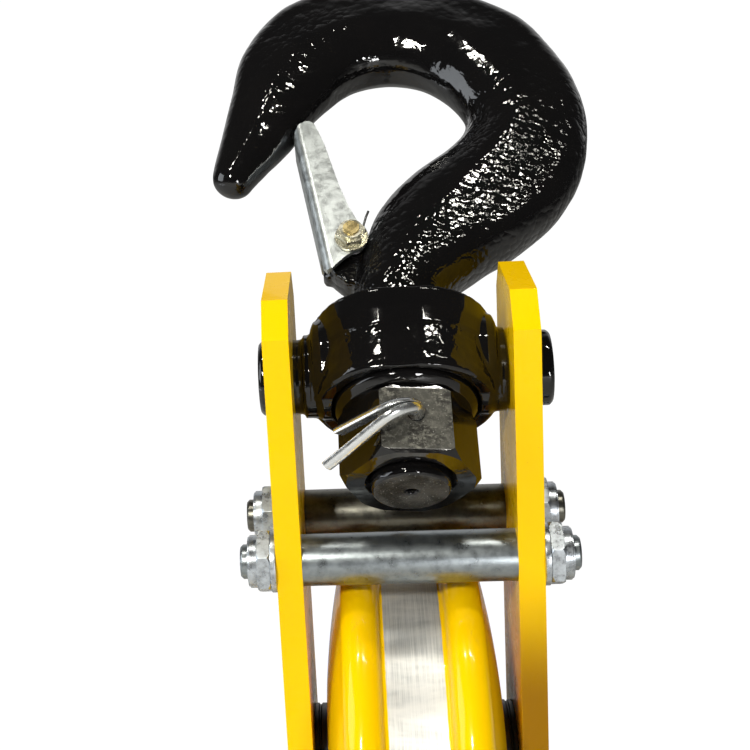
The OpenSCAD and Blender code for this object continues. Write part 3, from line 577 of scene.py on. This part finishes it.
def hook_stations(steps):
    """The stations above and the ones between them, on a smooth curve."""
    s = np.array(STATIONS)
    out = []
    for i in range(len(s) - 1):
        p0, p1, p2, p3 = s[max(0, i - 1)], s[i], s[i + 1], s[min(len(s) - 1, i + 2)]
        for t in np.arange(steps) / steps:
            out.append(0.5 * (2 * p1 + (p2 - p0) * t + (2 * p0 - 5 * p1 + 4 * p2 - p3) * t * t
                              + (3 * p1 - p0 - 3 * p2 + p3) * t ** 3))
    return out + [s[-1]]


def hook_section(station, count):
    """One ring of points round the hook, in mm in the hook's own frame."""
    inner, outer = np.array(station[:2]), np.array(station[2:4])
    wide, narrow, share = station[4:]
    depth = np.linalg.norm(outer - inner)
    ridge = share * depth
    formed = min(1, max(0, (wide - narrow) / FULL_RIDGE))   # 0 for a round section, 1 for a full ridge
    ring = []
    for a in 2 * math.pi * np.arange(count) / count:
        c, s = math.cos(a), math.sin(a)
        if c < 0:
            x, y = ridge * (1 - (-c) ** (1 + 0.3 * formed)), wide * s
        else:
            x = ridge + (depth - ridge) * c
            round_flank = abs(s) * (wide * (1 - c) + narrow * c)
            rim = math.sqrt(1 - (max(0, c - RIM) / (1 - RIM)) ** 2 + 1e-9)
            hollow_flank = (narrow + (wide - narrow) * (1 - c ** 1.35) ** 1.8) * rim
            y = (1 - formed) * round_flank + formed * hollow_flank
            y = math.copysign(y, s) if abs(s) > 1e-9 else 0.0
        p = inner + (outer - inner) * x / depth
        ring.append((p[0], y, p[1]))
    return ring


def hook_bar(count=64):
    """The forged bar from the shoulder to the tip, closed with a fan of faces at each end."""
    rings = [hook_section(station, count) for station in hook_stations(8)]
    verts, faces = tube(rings, count)
    faces = [tuple(reversed(face)) for face in faces[:-2]]      # the sections run round the other way
    end = len(verts)
    faces += [(end, k, (k + 1) % count) for k in range(count)]
    faces += [(end + 1, end - count + (k + 1) % count, end - count + k) for k in range(count)]
    return verts + [SHOULDER, TIP], faces


def from_seat(co):
    """Points as (across, back, up the shank) from the seat's centre, and their distance from its axis."""
    seat = to_hook(co) - np.array((0, 0, SEAT_UP))
    return seat, np.hypot(seat[:, 0], seat[:, 2])


def build_hook():
    """The forging, the lug and stop that carry the latch, the journal and the thread, fused into one."""
    pivot = to_hook(np.array([JOINT["latch_hinge"]["pos_m"]]))[0] / MM
    eye = [(9.2 * math.cos(a), 9.2 * math.sin(a)) for a in np.radians(range(0, 166, 15))]
    cheek = eye + [(-12.2, -3.5), (-11.6, -11.5), (-9, -16.5), (-4, -21.5), (9.5, -25)]
    stop = [(8, -8.4), (-14.5, -8.4), (-14.5, -12.4), (-13, -14.2), (8, -14.2)]
    lug, block = (slab([(pivot[0] + u, pivot[2] + s) for u, s in outline], front, 9.1)
                  for outline, front in ((cheek, -6), (stop, 1)))
    journal = lathe([(20, -22), (20, 27)])
    end = SHANK_END
    # The end has a centre drilling and a turned line near its edge.
    thread = lathe([(0.01, end + 5.5), (2.3, end + 5.5), (2.3, end + 1.3), (3.8, end), (14.6, end),
                    (15.4, end + 0.6), (16.4, end), (18, end + 1.6), (18, -21)])
    verts, faces = joined(hook_bar(), lug, block, journal, thread)
    obj = new_piece("hook_forging", [from_hook(p) for p in verts], faces)
    fuse(obj, 0.9 * MM, 12)
    co, normal = points_of(obj)
    h = to_hook(co)
    _, r = from_seat(co)
    # Forged skin everywhere above the shoulder, quieter in the seat, where loads have rubbed it, and
    # none on the tip.
    skin = step(h[:, 2], 27, 34) * (0.35 + 0.65 * step(r, 37, 46)) * (1 - step(h[:, 0], -66, -82))
    relief = (lumps(co, 55, 1) * 0.45 + lumps(co, 150, 2) * 0.14 + lumps(co, 330, 3) * 0.05) * MM
    co += normal * (relief * skin)[:, None]
    # The seat's land stays a true cylinder about the seat's centre.
    seat, r = from_seat(co)
    land = (r < SEAT_R) & (np.abs(seat[:, 1]) < 9 * MM)
    scale = np.where(land, SEAT_R / np.maximum(r, 1e-6), 1.0)
    seat[:, 0] *= scale
    seat[:, 2] *= scale
    set_points(obj, (seat + np.array((0, 0, SEAT_UP))) @ np.array(HOOK_AXES).T + np.array(TRUNNION))
    return obj


# ------------------------------------------------------------------ crosshead

def build_crosshead():
    """The CAD crosshead with its casting's edges softened and its skin lumpy where it isn't machined."""
    obj = bpy.data.objects.new("crosshead_casting", frame["nodes"]["crosshead"].data.copy())
    bpy.context.scene.collection.objects.link(obj)
    weld(obj)
    apply_modifiers(obj)
    fuse(obj, 0.7 * MM, 3)
    co, normal = points_of(obj)
    h = to_hook(co)
    r = np.hypot(h[:, 0], h[:, 1])
    band = step(h[:, 2], 3.2, 4.2) * step(h[:, 2], 24, 23)
    cast = (1 - band) * step(np.abs(h[:, 0]), 44, 42) * step(h[:, 2], -18.4, -17.2)
    cast *= np.where(h[:, 2] < 0, r > 34.8 * MM, step(r, 24.5, 26.5))   # not in the pocket or the bore
    relief = (lumps(co, 120, 4) * 0.25 + lumps(co, 300, 5) * 0.14) * MM
    co += normal * (relief * cast)[:, None]
    set_points(obj, co)
    return obj


# ------------------------------------------------------------------ cotter pin

def build_cotter():
    """Half-round wire folded on itself: a leg, the eye behind the nut, and the other leg."""
    nut_front, nut_back = 28.1, 27.5    # from the shank's axis to where the wire leaves the nut
    wire_r, eye_r, bend_r, bend = 3.6, 5.4, 10.0, math.radians(133)
    hole = NUT_TOP - 0.43 * NUT_HEIGHT  # the cross hole's height
    gap = 0.05                          # half the gap between the legs

    def leg(side, out, splay):
        """Centres of one leg from the eye, round the bend and out; side is which half of the wire."""
        points = [Vector((0, nut_back + 0.3, side * gap))]
        for a in np.linspace(0, bend, 19):
            points.append(Vector((bend_r * (math.cos(a) - 1), -nut_front - bend_r * math.sin(a),
                                  side * (gap + 0.5 * splay * bend_r * a * a / bend))))
        run = Vector((-math.sin(bend), -math.cos(bend), side * splay))
        end = points[-1]
        points += [end + run * d for d in np.linspace(0, out, 9)[1:]]
        return [(p, Vector((0, 0, side))) for p in points]

    eye = [(Vector((0, nut_back + 8.4 + eye_r * math.cos(a), eye_r * math.sin(a))),
            Vector((0, math.cos(a), math.sin(a)))) for a in np.radians(np.linspace(150, -150, 25))]
    path = leg(1, 23, 0.2)[::-1] + eye + leg(-1, 35, 0)
    section = [(wire_r * math.sin(a), wire_r * math.cos(a)) for a in np.linspace(0, math.pi, 15)]
    turn = Matrix.Rotation(NUT_TURN, 3, "Z") @ Matrix.Rotation(math.radians(-24), 3, "Y")
    rings = []
    for i, (at, up) in enumerate(path):
        run = path[min(len(path) - 1, i + 1)][0] - path[max(0, i - 1)][0]
        across = run.cross(up).normalized()
        rings.append([from_hook(turn @ (at + up * a + across * b) + Vector((0, 0, hole))) for a, b in section])
    obj = new_piece("cotter_wire", *tube(rings, len(section)))
    round_edges(obj, 0.35, 2, 40)
    return obj


# ------------------------------------------------------------------ dressing and placing every piece

REBUILT = {"hook": build_hook, "crosshead": build_crosshead, "cotter_pin": build_cotter}

for node, obj in frame["nodes"].items():
    if node not in REBUILT:
        dress(node, obj)

for node, build in REBUILT.items():
    obj = build()
    obj.data.materials.clear()
    obj.data.materials.append(material_for(node))
    obj.data.shade_smooth()
    if node == "cotter_pin":
        obj.data.set_sharp_from_angle(angle=math.radians(50))
    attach(obj, BODY[node])
    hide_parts(node)


# ------------------------------------------------------------------ floor, light and camera

WARM, COOL, WHITE = (1.0, 0.97, 0.88), (0.90, 0.95, 1.0), (1.0, 1.0, 1.0)


def build_floor():
    """A pale floor that the camera sees as white, with a trace of its shading."""
    size, z = 14.0, CAD_BOX[0][2] - 0.5 * MM
    floor = new_piece("floor", [(-size, -size, z), (size, -size, z), (size, size, z), (-size, size, z)],
                      [(0, 1, 2, 3)])
    s = Shader("floor_white")
    s.set(Base_Color=s.mix(s.noise(3, 3), (0.66, 0.66, 0.66), (0.70, 0.70, 0.70)), Roughness=0.7)
    seen = s.nodes.new("ShaderNodeLightPath").outputs["Is Camera Ray"]
    glow = s.nodes.new("ShaderNodeEmission")
    glow.inputs["Strength"].default_value = 1.08
    blend = s.nodes.new("ShaderNodeMixShader")
    s.put(blend.inputs[0], s.times(seen, 0.95))
    s.links.new(s.bsdf.outputs[0], blend.inputs[1])
    s.links.new(glow.outputs[0], blend.inputs[2])
    s.links.new(blend.outputs[0], s.nodes["Material Output"].inputs["Surface"])
    floor.data.materials.append(s.mat)


def build_world():
    """White to the camera. To the object: bright behind it and dark everywhere else."""
    world = bpy.data.worlds.new("studio")
    bpy.context.scene.world = world
    world.use_nodes = True
    nodes, links = world.node_tree.nodes, world.node_tree.links
    background = nodes["Background"]
    seen = nodes.new("ShaderNodeLightPath").outputs["Is Camera Ray"]
    xyz = nodes.new("ShaderNodeSeparateXYZ")
    links.new(nodes.new("ShaderNodeTexCoord").outputs["Generated"], xyz.inputs[0])
    behind = nodes.new("ShaderNodeMapRange")
    behind.interpolation_type = "SMOOTHSTEP"
    links.new(xyz.outputs["Y"], behind.inputs["Value"])
    for key, x in (("From Min", 0.45), ("From Max", 0.95), ("To Min", 0.04), ("To Max", 0.70)):
        behind.inputs[key].default_value = x
    strength = nodes.new("ShaderNodeMix")
    links.new(seen, strength.inputs[0])
    links.new(behind.outputs["Result"], strength.inputs[2])
    strength.inputs[3].default_value = 1.0
    links.new(strength.outputs[0], background.inputs["Strength"])
    background.inputs["Color"].default_value = (1, 1, 1, 1)


def area_light(name, aim, offset, size, power, colour):
    data = bpy.data.lights.new(name, "AREA")
    data.shape = "RECTANGLE"
    data.size, data.size_y = size
    data.energy = power
    data.color = colour
    obj = bpy.data.objects.new(name, data)
    bpy.context.scene.collection.objects.link(obj)
    obj.location = aim + Vector(offset)
    obj.rotation_euler = (-Vector(offset)).to_track_quat("-Z", "Y").to_euler()


def build_lights():
    """Pairs of short tubes overhead, for the glints on the black gloss, and soft lights round the front."""
    for pair, x, power in (("left", -0.34, 1.7), ("right", 0.31, 1.7), ("far", 0.62, 0.35)):
        for k, shift in (("a", -0.035), ("b", 0.035)):
            area_light(f"tube_{pair}_{k}", TRUNNION, (x + shift, -0.17, 1.15), (0.030, 0.13), power, WARM)
    area_light("front_key", TRUNNION, (-0.55, -1.5, 1.0), (0.2, 0.2), 24, WARM)
    area_light("left_soft", TRUNNION, (-1.4, -0.25, 0.4), (0.9, 1.0), 11, COOL)
    area_light("left_bounce", TRUNNION, (-0.8, -0.15, -0.55), (0.7, 0.6), 9, COOL)
    area_light("low_key", AXLE, (0.5, -1.6, 0.15), (0.25, 0.25), 8, WHITE)


def build_camera():
    pitch, yaw, roll = (math.radians(a) for a in (14.018, 5.946, -4.178))
    from_block = (-15.735, -672.425, 223.645)   # mm
    turn = Matrix.Rotation(yaw, 3, "Z")
    right = turn @ Vector((1, 0, 0))
    ahead = turn @ Vector((0, math.cos(pitch), -math.sin(pitch)))
    above = turn @ Vector((0, math.sin(pitch), math.cos(pitch)))
    across = right * math.cos(roll) + above * math.sin(roll)
    upright = above * math.cos(roll) - right * math.sin(roll)
    data = bpy.data.cameras.new("camera")
    data.lens, data.sensor_width = 72.0, 36.0
    data.shift_x, data.shift_y = 0.2213, -0.1424
    camera = bpy.data.objects.new("camera", data)
    bpy.context.scene.collection.objects.link(camera)
    facing = Matrix((across, upright, -ahead)).transposed().to_4x4()
    camera.matrix_world = Matrix.Translation(BLOCK + Vector(from_block) * MM) @ facing
    bpy.context.scene.camera = camera


build_floor()
build_world()
build_lights()
build_camera()
bpy.context.scene.view_settings.view_transform = "Standard"
bpy.context.scene.view_settings.look = "None"
